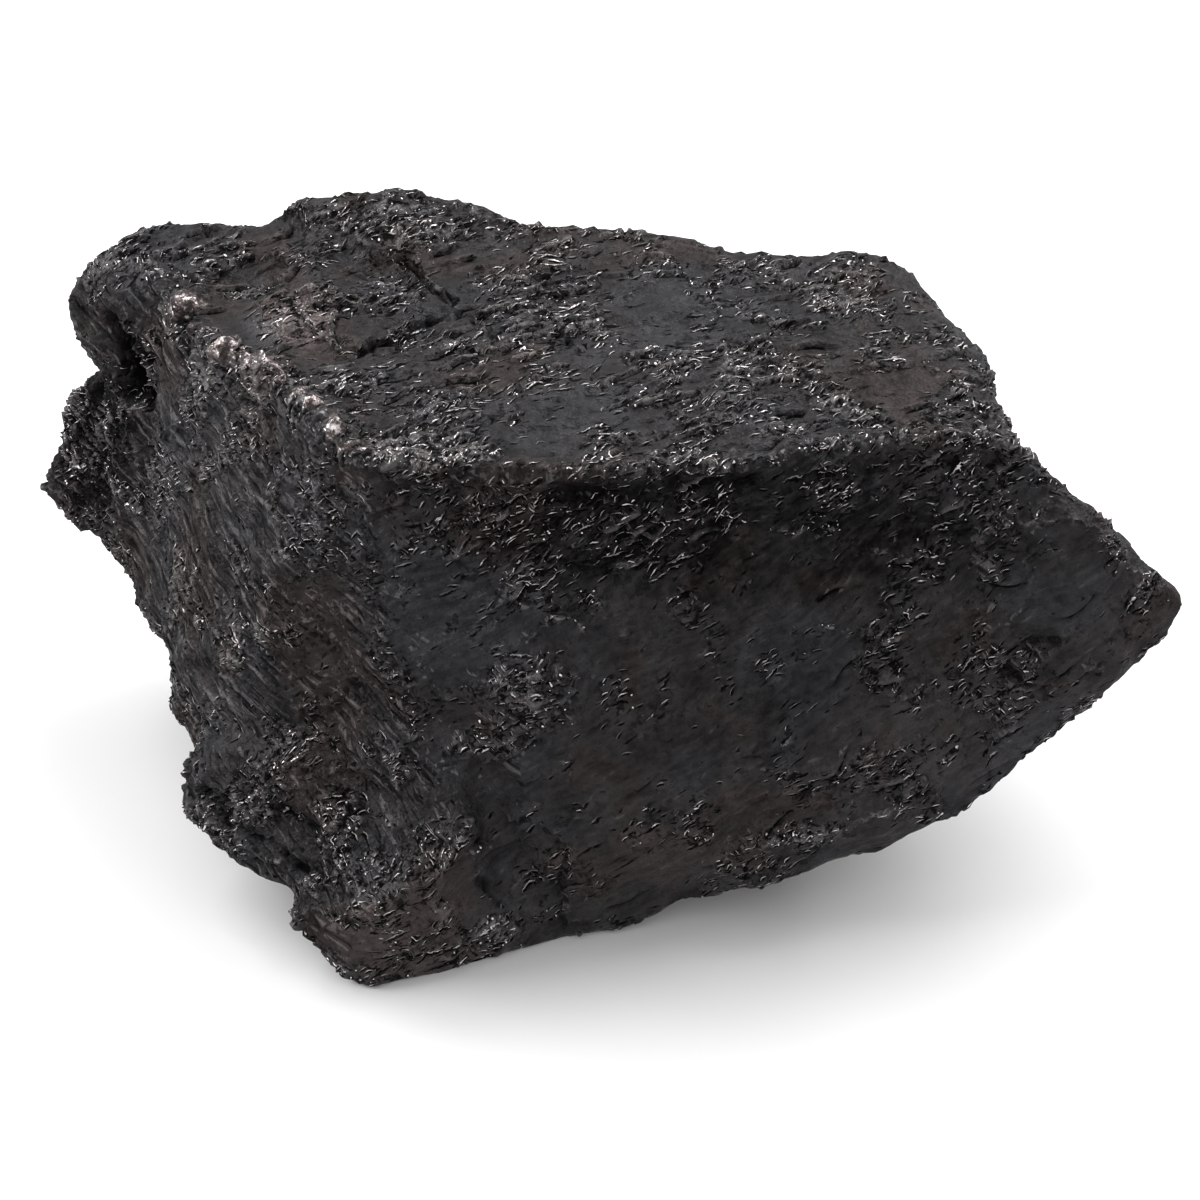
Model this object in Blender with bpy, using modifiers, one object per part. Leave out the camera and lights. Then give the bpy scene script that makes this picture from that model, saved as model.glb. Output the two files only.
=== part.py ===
"""Meteorite fragment: one dark angular stone, small enough for one hand, that lies on a flat broken facet.

The frame is in metres, +Z up, with the origin on the resting facet, under the middle of the stone's box.
+X runs along the stone's longest way, to its beak, and -Y is its broad broken front.
The tables below are in millimetres, in a working frame with the resting facet at zero height. The finished
stone is moved so that the origin is under the middle of its box, and sized so that it is LENGTH long.
"""

import math

import bmesh
import bpy
import numpy as np
from mathutils import Euler, Vector, noise

MM = 0.001
NODE_NAME = "meteorite_fragment"

LENGTH = 82.0  # from the tip of the spur to the tip of the beak
VOXEL = 0.6  # grain of the joined stone while its relief is pressed in
ROUNDING_PASSES = 3  # smoothing passes that take the knife edge off each break
TRIANGLES = 9500
SEED = 11  # picks one of the possible patterns of breakage

# Each mass is a convex lump spanned by its corners. Joined, they are the stone.
MASSES = {
    # the flat-topped block
    "block": [
        (-33.6, 23.8, 34.8), (-29.5, 27.2, 35.2), (-22.2, 27.8, 36.4), (-4, 26.2, 36.6), (4, 26, 36),
        (12.5, 24.4, 34.8), (19.5, 22.8, 35.2), (22, 22, 34.8), (24.8, 18, 33.2), (26.9, 13, 32.2),
        (27.5, 4, 33), (27, 0.2, 34.6), (17.2, -2.2, 36), (9.7, -5, 36.3), (-3.4, -6, 36.1),
        (-11.4, -5.4, 36.1), (-16.6, -5, 36.1), (-18.4, -3, 36), (-21.6, 3.4, 35.7), (-26.8, 9.6, 35.5),
        (-31, 16.6, 35.1), (24.2, -3.4, 29.6), (24.4, -7.4, 12.3), (23.4, -6.8, 7.6), (19, -8, 5.2),
        (20.4, -8.4, 10.4), (16.5, -9.2, 9.4), (9.1, -10.3, 7), (10.5, -9.7, 3.7), (2, -10.5, 1.2),
        (2, -10.9, 4.6), (-12, -6.6, 32.6), (-7.4, -8, 27.7), (-5.4, -9.6, 21.4), (-5.4, -11.2, 10.7),
        (-3.3, -10.6, -0.8), (-14, -11.6, 0.6), (-19.4, -9, 5), (-25, -4.6, 6.4), (-36.6, 18.4, 12),
        (-35.2, 14, 8.8), (-32.4, 9.6, 7), (-30.4, 4, 6), (-29.6, -0.4, 6), (-24, 27, 8), (-14, 15, -0.8),
        (6, 17, -0.8), (12, 3, -0.8), (18, 22, 7), (26, 12, 10), (27, 14, 22), (2, 30, 8), (4, 31, 20),
        (-20, 29.6, 20),
    ],
    # the wedge at the right that the front face runs out into
    "beak": [
        (24, 0.6, 34.4), (27.4, 0.2, 34.6), (30.6, 0, 31.5), (34.3, -1, 28.2), (37.2, -1.4, 25.1),
        (39.6, -1.6, 22.7), (38.8, -2.2, 21.2), (36.8, -3.2, 19.8), (34.8, -4.8, 20.4), (34.4, -4.2, 17.4),
        (32.9, -5.6, 19.7), (30.8, -5.2, 15.2), (29.5, -6.3, 18), (26.9, -6.9, 14.3), (27.8, -6.2, 10.1),
        (23.4, -6.9, 7.4), (24.9, -3.8, 29.4), (27.2, -3.5, 30.1), (31.2, -3.1, 29.9), (33.5, -3.3, 28),
        (35.6, -3.1, 25.7), (25.6, 10, 27.4), (33, 8, 21), (30, 11, 13), (20, 16, 20), (18, 10, 12),
        (16, -2, 20),
    ],
    # the lump at the upper left corner, and the edge that runs down from it
    "knob": [
        (-34, 23.6, 35), (-36, 26, 35.8), (-39, 24.2, 33.8), (-40.3, 23.6, 31.4), (-39.6, 24, 28),
        (-38.2, 24.2, 26), (-37.6, 22.4, 26.2), (-36.2, 20, 25.8), (-36, 28, 27), (-36.8, 28.6, 33),
        (-34.6, 28, 35.8), (-29.5, 28.6, 36), (-25, 27.6, 35), (-25, 14, 33), (-31.4, 18.6, 34.2),
        (-31, 26, 20),
    ],
    "left_edge": [
        (-37.6, 22.4, 26.4), (-36, 20, 25.9), (-35.5, 19, 24.7), (-35.4, 17.6, 22.8), (-37, 19, 20.5),
        (-36.4, 17.8, 16), (-36.4, 18.4, 12), (-34, 24, 14), (-28, 14, 30), (-26, 12, 14), (-35, 15, 11),
    ],
    "spur": [
        (-37.4, 25.8, 26.4), (-39.4, 26.8, 22.8), (-42, 25.8, 20), (-41.8, 25, 17), (-43.4, 23.2, 15.6),
        (-41.8, 22.4, 14.4), (-38.8, 20, 12.8), (-36.2, 17.6, 11), (-36.4, 30, 22), (-38, 28.4, 14),
        (-28, 28, 9), (-20, 29, 22), (-24, 12, 12), (-26, 15, 23),
    ],
    # the raised back of the top
    "back_bump": [
        (-25.4, 28, 35.8), (-22.3, 28.3, 38.2), (-18.4, 28.2, 38.3), (-14.6, 28, 38.7), (-11, 27.4, 38.2),
        (-8.4, 26.8, 37.6), (-5, 26, 36), (-11, 18.5, 36), (-20.4, 20, 36), (-16, 30.6, 33),
        (-15, 24, 37.8),
    ],
    "right_corner": [
        (14.4, 24.6, 34.8), (16.4, 23.8, 36.2), (19.4, 23, 36.5), (21.4, 22.4, 35.8), (22.8, 20.4, 34.5),
        (16.4, 17.4, 35.2), (13.2, 19.6, 34.8), (20, 24.6, 30),
    ],
    "foot": [
        (-22.2, -13, 4.8), (-22.9, -13.9, 3.2), (-18.8, -15.8, 0.8), (-16.8, -16.3, -0.8),
        (-10.2, -13.8, -0.8), (-3.2, -10.7, -0.8), (-15.7, -15.5, 6.6), (-9.8, -13.3, 11.6),
        (-20.6, -11.6, 7.4), (-11, -6, 18), (-6, 2, 2), (-18, -4, 2),
    ],
    "heel": [
        (-30.6, -1, 5), (-31.1, -3.5, 5.5), (-27.8, -7.3, 4.6), (-24.2, -10.2, 4.2), (-29.4, 0.6, 9.6),
        (-27, -4.4, 12), (-20.6, -12.4, 4.4), (-20.4, -9.4, 12.6), (-15, -12, 9), (-20, -4, 15),
        (-20, 2, 2.4),
    ],
    # the slab that stands just proud of the top behind its left rim
    "plateau": [
        (-24.6, 11.4, 35.9), (-23.9, 16, 36.9), (-20.6, 16.4, 37.1), (-18.4, 17.4, 37),
        (-19.1, 11.2, 36.6), (-21, 10.4, 35.9), (-21, 13, 34),
    ],
}

# Each hollow is an ellipsoid taken out of the stone: its middle, its half axes, and its turns in degrees.
HOLLOWS = {
    "left_cleft": ((-37.4, 17.6, 27.6), (2.6, 3, 5.4), (0, 10, -30)),
    "foot_pocket": ((-6, -17.6, 7), (4.4, 7, 5.4), (0, -14, 0)),
    "heel_pocket": ((-24.4, -13, 9.6), (3.4, 4, 2.6), (0, 0, 30)),
    "top_dish": ((-27, 20.2, 44.6), (8.6, 6.8, 10), (0, 0, -20)),
    "left_waist": ((-41.8, 8.6, 8), (10, 8.4, 10.4), (0, 0, 0)),
    "back_scoop": ((20, 37, 26), (17, 14, 12), (10, 10, 12)),
    "back_low_scoop": ((-14, 41, 10), (15, 14, 10), (-14, 0, -8)),
    "beak_back": ((42, 18, 28), (11, 12, 12), (0, 0, 20)),
    "under_beak": ((33, 7, -5), (16, 14, 13), (0, -20, 0)),
    "under_spur": ((-33, 17, -5), (12, 12, 11), (0, 20, 0)),
}

# Swells stand proud of the surface, dents are pressed into it: middle, radius and height.
SWELLS = {
    "rim_lump_far": ((-30.6, 16.6, 35.4), 1.5, 0.9),
    "rim_lump_mid": ((-27, 10.6, 35.6), 1.7, 0.9),
    "rim_lump_near": ((-23.6, 6.6, 35.8), 1.6, 0.9),
    "rim_lump_corner": ((-19.4, -0.8, 36), 2, 0.8),
    "knuckle": ((-4.8, -9.6, 21.4), 3.4, 0.9),
    "beak_hump": ((30.1, -5.4, 20), 1.8, 0.8),
    "beak_lump": ((34.6, -4.6, 19.4), 1.9, 0.8),
    "foot_lump": ((-12.6, -14.4, 3.4), 2.4, 0.6),
    "heel_ring": ((-29.4, -1.6, 7.4), 1.8, 0.5),
    "lip_ring": ((19.4, -8.2, 8.6), 1.8, 0.4),
    "side_pit_high": ((-21.5, -11, 10.8), 1.6, -0.9),
    "side_pit_low": ((-20.8, -12.6, 8.2), 1.5, -0.7),
    "top_pit_back": ((-3.4, 17.8, 36.4), 2, -0.6),
    "top_pit_mid": ((-4, 9, 36.2), 1.8, -0.5),
    "rim_bite": ((5.4, -3.4, 36.2), 1.4, -0.7),
}

# Ridges and grooves follow a line over the surface: its points, half width and height.
RIDGES = {
    "under_rim": (((-9, -6.6, 30.4), (4, -6.4, 29.6), (14, -4.6, 29.6), (23, -2.8, 29.4)), 5.6, -1.7),
    "corner_wear": (((-18, -4.6, 31), (-18.8, -7, 14)), 4.6, -1.7),
    "foot_crest": (((-15.6, -15.2, 6.6), (-13, -14.2, 7.8), (-10, -13, 11.6), (-6, -11.4, 15)), 1.1, 0.7),
    "front_lip": (((-17, -4.8, 36), (-3.4, -6, 36.2), (9.7, -5, 36.4), (17.4, -2.4, 36)), 1, 0.35),
    "lower_lip": (((9, -10, 7.6), (13, -9.8, 9), (17, -9.2, 9.8)), 1, 0.6),
    "top_step": (((-19, 22, 36.6), (-12, 15.6, 36.2), (-14, 10.4, 36.2), (-18.6, 8, 36)), 1, -0.7),
    "beak_groove": (((26.6, -5, 19), (28.8, -4.8, 21), (31, -4.6, 21.2)), 0.9, -0.7),
    "left_step": (((-36.9, 19, 20.5), (-34.6, 16.6, 21.4)), 0.9, 0.5),
}

# General breakage, coarse to fine: size of the chips, how far each tilts, and how soft its edges are.
CHIPS = (
    (8, 0.14, 0.3),
    (3.8, 0.22, 0.3),
)
LEAN_SPREAD = 7.3  # spreads the chips' middles out, so that neighbours lean unlike each other
WANDER = (11, 0.35)  # wavelength and height of the slow unevenness of every face


def clear_scene():
    for obj in list(bpy.data.objects):
        bpy.data.objects.remove(obj)


def collection(name):
    made = bpy.data.collections.new(name)
    bpy.context.scene.collection.children.link(made)
    return made


def linked_object(name, bm, home):
    """An object in this collection that holds the shape in bm, which is freed."""
    mesh = bpy.data.meshes.new(name)
    bm.to_mesh(mesh)
    bm.free()
    obj = bpy.data.objects.new(name, mesh)
    home.objects.link(obj)
    return obj


def hull_object(name, corners, home):
    """The convex lump that these corners span."""
    bm = bmesh.new()
    for corner in corners:
        bm.verts.new(Vector(corner) * MM)
    spanned = bmesh.ops.convex_hull(bm, input=bm.verts)
    inside = [item for item in spanned["geom_interior"] if isinstance(item, bmesh.types.BMVert)]
    bmesh.ops.delete(bm, geom=inside, context="VERTS")
    bmesh.ops.recalc_face_normals(bm, faces=bm.faces)
    return linked_object(name, bm, home)


def ellipsoid_object(name, middle, half_axes, turns, home):
    bm = bmesh.new()
    bmesh.ops.create_icosphere(bm, subdivisions=4, radius=MM)
    obj = linked_object(name, bm, home)
    obj.location = Vector(middle) * MM
    obj.scale = half_axes
    obj.rotation_euler = Euler([math.radians(turn) for turn in turns])
    return obj


def add_boolean(stone, helper, operation):
    helper.hide_render = True
    helper.display_type = "WIRE"
    modifier = stone.modifiers.new(helper.name, "BOOLEAN")
    modifier.operation = operation
    modifier.object = helper


def joined_stone(stone_home, helper_home):
    """The masses joined into one body, less the hollows, and evened out to one fine grain."""
    stone = hull_object(NODE_NAME, MASSES["block"], stone_home)
    for name, corners in MASSES.items():
        if name != "block":
            add_boolean(stone, hull_object("mass_" + name, corners, helper_home), "UNION")
    for name, (middle, half_axes, turns) in HOLLOWS.items():
        hollow = ellipsoid_object("hollow_" + name, middle, half_axes, turns, helper_home)
        add_boolean(stone, hollow, "DIFFERENCE")
    grain = stone.modifiers.new("grain", "REMESH")
    grain.mode = "VOXEL"
    grain.voxel_size = VOXEL * MM
    rounding = stone.modifiers.new("rounding", "SMOOTH")
    rounding.iterations = ROUNDING_PASSES
    return stone


def apply_modifiers(obj):
    """Replaces the object's mesh with the shape that its modifiers make of it."""
    graph = bpy.context.evaluated_depsgraph_get()
    shaped = bpy.data.meshes.new_from_object(obj.evaluated_get(graph))
    obj.modifiers.clear()
    obj.data = shaped
    shaped.name = obj.name


def distance_to_line(points, line):
    """How far each point is from a line through these corners."""
    nearest = np.full(len(points), np.inf)
    for start, end in zip(line[:-1], line[1:]):
        start = np.array(start)
        along = np.array(end) - start
        share = np.clip((points - start) @ along / (along @ along), 0, 1)
        gap = np.linalg.norm(points - start - share[:, None] * along, axis=1)
        nearest = np.minimum(nearest, gap)
    return nearest


def bell(distance, radius):
    return np.exp(-((distance / radius) ** 2))


def chip_height(point, size, tilt, soft):
    """Height of the broken facets: each cell is a small plane with a tilt of its own."""
    (near, far, _, _), (centre, _, _, _) = noise.voronoi(point / size)
    lean = noise.noise_vector(centre * LEAN_SPREAD)
    edge = min((far - near) / soft, 1)
    return (point / size - centre).dot(lean) * size * tilt * edge


def breakage(points):
    """Seeded unevenness of every face: slow waves under two sizes of chip."""
    noise.seed_set(SEED)
    wavelength, height = WANDER
    relief = np.empty(len(points))
    for i, place in enumerate(points):
        point = Vector(place)
        relief[i] = height * noise.noise(point / wavelength)
        for size, tilt, soft in CHIPS:
            relief[i] += chip_height(point, size, tilt, soft)
    return relief


def press_relief(stone):
    """Moves the surface in and out by the named swells and ridges, and by the general breakage."""
    mesh = stone.data
    points = np.empty(len(mesh.vertices) * 3)
    mesh.vertices.foreach_get("co", points)
    points = points.reshape(-1, 3) / MM
    normals = np.empty(len(mesh.vertices) * 3)
    mesh.vertices.foreach_get("normal", normals)
    normals = normals.reshape(-1, 3)
    relief = breakage(points)
    for middle, radius, height in SWELLS.values():
        relief += height * bell(np.linalg.norm(points - middle, axis=1), radius)
    for line, half_width, height in RIDGES.values():
        relief += height * bell(distance_to_line(points, line), half_width)
    points += normals * relief[:, None]
    mesh.vertices.foreach_set("co", (points * MM).ravel())
    mesh.update()


def thin_out(stone):
    """Leaves about TRIANGLES triangles, with the fewest where the stone is flat."""
    triangles = 2 * len(stone.data.polygons)
    fewer = stone.modifiers.new("fewer", "DECIMATE")
    fewer.ratio = TRIANGLES / triangles
    fewer.use_collapse_triangulate = True
    apply_modifiers(stone)


def cut_resting_facet(stone):
    """Cuts the stone off flat at zero height and closes the cut."""
    bm = bmesh.new()
    bm.from_mesh(stone.data)
    everything = list(bm.verts) + list(bm.edges) + list(bm.faces)
    down = (0, 0, -1)
    cut = bmesh.ops.bisect_plane(bm, geom=everything, plane_co=(0, 0, 0), plane_no=down, clear_outer=True)
    rim = [item for item in cut["geom_cut"] if isinstance(item, bmesh.types.BMEdge)]
    bmesh.ops.triangle_fill(bm, edges=rim, use_beauty=True, normal=down)
    bmesh.ops.recalc_face_normals(bm, faces=bm.faces)
    bm.to_mesh(stone.data)
    bm.free()


def centre_and_size(stone):
    """Puts the origin under the middle of the box and makes the stone LENGTH long."""
    corners = np.array([vertex.co for vertex in stone.data.vertices])
    low = corners.min(axis=0)
    high = corners.max(axis=0)
    scale = LENGTH * MM / (high[0] - low[0])
    middle = (low + high) / 2
    for vertex in stone.data.vertices:
        vertex.co.x = (vertex.co.x - middle[0]) * scale
        vertex.co.y = (vertex.co.y - middle[1]) * scale
        vertex.co.z = (vertex.co.z - low[2]) * scale


def stone_material():
    """Dark slate crust, a little glossy where it is worn."""
    material = bpy.data.materials.new("dark_stone")
    material.use_nodes = True
    surface = material.node_tree.nodes["Principled BSDF"]
    surface.inputs["Base Color"].default_value = (0.045, 0.041, 0.042, 1)
    surface.inputs["Roughness"].default_value = 0.55
    surface.inputs["Metallic"].default_value = 0
    return material


def main():
    clear_scene()
    stone_home = collection(NODE_NAME + "_parts")
    helper_home = collection("helpers")
    stone = joined_stone(stone_home, helper_home)
    apply_modifiers(stone)
    press_relief(stone)
    thin_out(stone)
    cut_resting_facet(stone)
    centre_and_size(stone)
    stone.data.materials.append(stone_material())


if __name__ == "__main__":
    main()
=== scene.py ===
import math

import bpy
import numpy as np
from mathutils import Matrix, Vector
from mathutils.bvhtree import BVHTree


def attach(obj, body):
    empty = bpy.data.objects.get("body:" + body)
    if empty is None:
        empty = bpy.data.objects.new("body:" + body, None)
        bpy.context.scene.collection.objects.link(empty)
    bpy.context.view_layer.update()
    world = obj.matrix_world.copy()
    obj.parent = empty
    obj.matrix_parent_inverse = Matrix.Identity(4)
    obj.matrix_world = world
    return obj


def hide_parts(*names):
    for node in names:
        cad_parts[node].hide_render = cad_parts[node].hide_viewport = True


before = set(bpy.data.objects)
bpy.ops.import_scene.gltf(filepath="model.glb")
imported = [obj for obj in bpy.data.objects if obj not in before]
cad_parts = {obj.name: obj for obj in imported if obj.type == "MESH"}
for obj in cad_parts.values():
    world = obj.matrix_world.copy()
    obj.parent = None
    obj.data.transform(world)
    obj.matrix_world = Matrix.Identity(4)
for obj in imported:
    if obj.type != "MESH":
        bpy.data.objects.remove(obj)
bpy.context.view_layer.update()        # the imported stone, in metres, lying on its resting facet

mm = 0.001
nodeName = "meteorite_fragment"
bodyName = "root"


# Lengths are millimetres, in the stone's own frame, unless a note says otherwise.
cameraPlan = {
    "elevation": 35,                 # degrees above the table
    "distance": 238.3,
    "aim": (1.07, -3.37, 18.57),     # the point in the middle of the frame
    "lens": 101.4,
    "sensor": 36,
    "frameSide": 1200,               # marks on the stone are placed in a frame of this many pixels
    "sees": (0.01, 10),              # metres, near and far
}


def cameraAxes():
    tilt = math.radians(cameraPlan["elevation"])
    back = Vector((0, -math.cos(tilt), math.sin(tilt)))
    up = Vector((0, math.sin(tilt), math.cos(tilt)))
    right = Vector((1, 0, 0))
    eye = Vector(cameraPlan["aim"]) + back * cameraPlan["distance"]
    return eye, right, up, back


def makeCamera():
    eye, right, up, back = cameraAxes()
    data = bpy.data.cameras.new("camera")
    data.lens = cameraPlan["lens"]
    data.sensor_width = cameraPlan["sensor"]
    data.clip_start, data.clip_end = cameraPlan["sees"]
    camera = bpy.data.objects.new("camera", data)
    bpy.context.scene.collection.objects.link(camera)
    camera.location = eye * mm
    camera.rotation_mode = "QUATERNION"
    camera.rotation_quaternion = back.to_track_quat("Z", "Y")
    bpy.context.scene.camera = camera
    print("camera set")


def sightLine(px, py):
    # the ray that leaves the camera through a pixel of the frame
    eye, right, up, back = cameraAxes()
    side = cameraPlan["frameSide"]
    perPixel = cameraPlan["sensor"] / cameraPlan["lens"] / side
    way = right * (px - side / 2) * perPixel + up * (side / 2 - py) * perPixel - back
    return eye, way.normalized()


def framePixels(points):
    # where points of the stone fall in the frame
    eye, right, up, back = (np.array(v) for v in cameraAxes())
    away = points - eye
    depth = -(away @ back)
    side = cameraPlan["frameSide"]
    scale = cameraPlan["lens"] / cameraPlan["sensor"] * side / depth
    return side / 2 + (away @ right) * scale, side / 2 - (away @ up) * scale


def softStep(low, high, value):
    t = np.clip((value - low) / (high - low), 0, 1)
    return t * t * (3 - 2 * t)


def cellHash(x, y, z, seed):
    # one well-mixed 32-bit number for each cell of a lattice; the big odd numbers only stir the bits
    h = x.astype(np.uint32) * np.uint32(73856093)
    h ^= y.astype(np.uint32) * np.uint32(19349663)
    h ^= z.astype(np.uint32) * np.uint32(83492791)
    h ^= np.uint32(seed * 2654435761 % 4294967296)
    h = (h ^ (h >> np.uint32(15))) * np.uint32(2246822519)
    h = (h ^ (h >> np.uint32(13))) * np.uint32(3266489917)
    return h ^ (h >> np.uint32(16))


def hashParts(h):
    # three numbers from -1 to 1 out of one hash, ten bits each
    parts = [(h >> np.uint32(shift)) & np.uint32(1023) for shift in (0, 10, 20)]
    return [part.astype(np.float32) / 511.5 - 1 for part in parts]


def smoothNoise(points, seed):
    # gradient noise, about -1 to 1, with lumps one unit across
    cell = np.floor(points).astype(np.int64)
    inside = (points - cell).astype(np.float32)
    fade = inside ** 3 * (inside * (inside * 6 - 15) + 10)
    total = np.zeros(len(points), np.float32)
    for corner in range(8):
        step = np.array([corner & 1, corner >> 1 & 1, corner >> 2 & 1])
        pull = hashParts(cellHash(*(cell + step).T, seed))
        weight = np.where(step, fade, 1 - fade).prod(axis=1)
        reach = inside - step
        total += weight * (reach[:, 0] * pull[0] + reach[:, 1] * pull[1] + reach[:, 2] * pull[2])
    return total * 1.5


def fractalNoise(points, seed, octaves=3, gain=0.5):
    # smooth noise with ever finer and weaker layers of itself on top
    total, height = 0, 1
    for octave in range(octaves):
        total = total + height * smoothNoise(points * 2 ** octave, seed + octave * 17)
        height *= gain
    return total


def cellNoise(points, seed):
    # the way from the nearest of one scattered point a cell, and three random numbers of that cell
    cell = np.floor(points).astype(np.int64)
    nearest = np.full(len(points), 9.0, np.float32)
    away = np.zeros((len(points), 3), np.float32)
    owner = np.zeros(len(points), np.uint32)
    for x in (-1, 0, 1):
        for y in (-1, 0, 1):
            for z in (-1, 0, 1):
                home = cell + np.array([x, y, z])
                h = cellHash(*home.T, seed)
                spot = np.stack(hashParts(h), axis=1) * 0.5 + 0.5
                way = (points - home - spot).astype(np.float32)
                gap = np.einsum("ij,ij->i", way, way)
                closer = gap < nearest
                nearest[closer] = gap[closer]
                away[closer] = way[closer]
                owner[closer] = h[closer]
    return away, hashParts(owner * np.uint32(2654435761) ^ owner >> np.uint32(9))


def stretched(grain, length, width):
    return grain / np.array([length, width, width])


def brokenEdges(grain, size, seed):
    # scattered flake edges: each a short curved step, steep on one side and slow on the other
    length, width = size[:2]
    away, (lean, bend, chance) = cellNoise(stretched(grain, length, width) * (1, 1, 0.5), seed)
    along, across = away[:, 0], away[:, 1]
    across = across + along * lean * 0.6 + along ** 2 * bend * 2.2
    ends = softStep(0.5, 0.25, np.abs(along))
    step = softStep(-0.10, 0.0, across) * softStep(0.55, 0.0, across) * ends
    ditch = softStep(-0.26, -0.13, across) * softStep(-0.02, -0.10, across) * ends
    return step, ditch, chance * 0.5 + 0.5


def shingles(field, steps, edge):
    # turns a smooth field into overlapping flakes: a sharp rise, then a slow fall
    part = field * steps
    part = part - np.floor(part)
    return softStep(0, edge, part) - part


stonePlan = {
    "voxel": 0.17,             # grain of the surface while its relief is pressed in
    "softening": 10,           # passes that melt the solid's flat facets into each other
    "triangles": 194000,
    "backThinning": 0.03,      # how strongly the far sides give up triangles first
    "thinWeight": (0.5, -1.2, 0.1),    # its weight edge on, what facing the camera adds, its least
    "faceBlend": 9,            # how sharply one broken face's relief gives way to the next
    "floorSkin": 0.35,         # relief fades out this close to the table
}

# Every broken face has its own grain. normal: the way it faces. flow: the way its streaks run.
# rough: how much flakier than the rest it is. habit: how streaked it is, then how closely its
# small flake edges sit along the flow and across it.
# flakes, ripples, edges and chips: length along the flow, width across it, height, and for
# edges and chips also how common they are.
brokenFaces = {
    "top": {
        "normal": (0, 0, 1), "flow": (0.88, 0.47, 0), "rough": 0.17, "habit": (0.1, 1.0, 1.0),
        "flakes": (5.5, 2.6, 0.26), "ripples": (2.0, 0.9, 0.11),
        "edges": (3.8, 1.8, 0.24, 0.55), "chips": (1.7, 0.9, 0.18, 0.5),
    },
    "leftFace": {
        "normal": (-0.83, -0.52, 0.21), "flow": (0.445, -0.838, -0.317), "rough": 0.12,
        "habit": (1.3, 0.55, 1.35),
        "flakes": (11.0, 1.4, 0.34), "ripples": (6.0, 0.7, 0.36),
        "edges": (4.6, 1.0, 0.26, 0.6), "chips": (2.4, 0.55, 0.26, 0.6),
    },
    "broadFace": {
        "normal": (0.1, -0.98, 0.17), "flow": (0.857, 0.171, 0.484), "rough": -0.16,
        "habit": (0.4, 1.1, 1.3),
        "flakes": (8.0, 2.4, 0.26), "ripples": (3.8, 0.9, 0.17),
        "edges": (4.2, 1.7, 0.22, 0.5), "chips": (1.9, 0.8, 0.16, 0.45),
    },
    "rightEnd": {
        "normal": (0.9, 0.3, 0.3), "flow": (0.2, -0.8, 0.56), "rough": 0.1, "habit": (0.4, 0.9, 1.0),
        "flakes": (6.0, 2.6, 0.30), "ripples": (2.8, 1.0, 0.14),
        "edges": (4.0, 2.0, 0.26, 0.5), "chips": (1.8, 0.9, 0.20, 0.45),
    },
    "backFace": {
        "normal": (0, 0.97, 0.2), "flow": (0.9, 0.08, -0.42), "rough": 0.2, "habit": (0.5, 0.8, 1.0),
        "flakes": (7.0, 2.6, 0.30), "ripples": (3.0, 0.9, 0.15),
        "edges": (4.2, 2.0, 0.26, 0.5), "chips": (1.8, 0.9, 0.20, 0.45),
    },
    "leftEnd": {
        "normal": (-0.9, 0.4, -0.1), "flow": (0.2, 0.5, -0.84), "rough": 0.35, "habit": (0.4, 0.9, 1.0),
        "flakes": (5.0, 2.2, 0.34), "ripples": (2.4, 0.8, 0.18),
        "edges": (3.2, 1.6, 0.30, 0.6), "chips": (1.6, 0.8, 0.24, 0.55),
    },
    "underside": {
        "normal": (0, 0, -1), "flow": (0.94, -0.34, 0), "rough": 0.0, "habit": (0.3, 1.0, 1.0),
        "flakes": (7.0, 3.2, 0.26), "ripples": (2.8, 1.2, 0.12),
        "edges": (4.2, 2.2, 0.22, 0.4), "chips": (1.8, 1.0, 0.16, 0.35),
    },
}


def pointsOf(mesh, what="co"):
    values = np.empty(len(mesh.vertices) * 3, np.float32)
    mesh.vertices.foreach_get(what, values)
    return values.reshape(-1, 3).astype(np.float64)


def evaluatedMesh(thing):
    graph = bpy.context.evaluated_depsgraph_get()
    return bpy.data.meshes.new_from_object(thing.evaluated_get(graph))


def fineCopy():
    # the solid's own shape, in millimetres, on an even fine mesh
    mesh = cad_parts[nodeName].data.copy()
    mesh.transform(Matrix.Scale(1 / mm, 4))
    stone = bpy.data.objects.new("stone", mesh)
    bpy.context.scene.collection.objects.link(stone)
    remesh = stone.modifiers.new("even grain", "REMESH")
    remesh.mode = "VOXEL"
    remesh.voxel_size = stonePlan["voxel"]
    smooth = stone.modifiers.new("melt facets", "SMOOTH")
    smooth.factor = 0.5
    smooth.iterations = stonePlan["softening"]
    fine = evaluatedMesh(stone)
    stone.modifiers.clear()
    stone.data = fine
    print("stone: fine mesh of", len(fine.polygons), "faces")
    return stone


def faceShares(normals):
    # how much each broken face has of each point, by the way the point faces
    names = list(brokenFaces)
    match = np.stack([normals @ np.array(Vector(brokenFaces[n]["normal"]).normalized()) for n in names])
    share = np.exp(stonePlan["faceBlend"] * (match - match.max(axis=0)))
    share = share ** 1.5
    share /= share.sum(axis=0)
    return dict(zip(names, share))


def grainFrame(face, points):
    # the points along the face's flow, across it, and through it
    flow = Vector(face["flow"]).normalized()
    out = Vector(face["normal"]).normalized()
    across = out.cross(flow).normalized()
    return np.stack([points @ np.array(v) for v in (flow, across, out)], axis=1)


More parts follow.
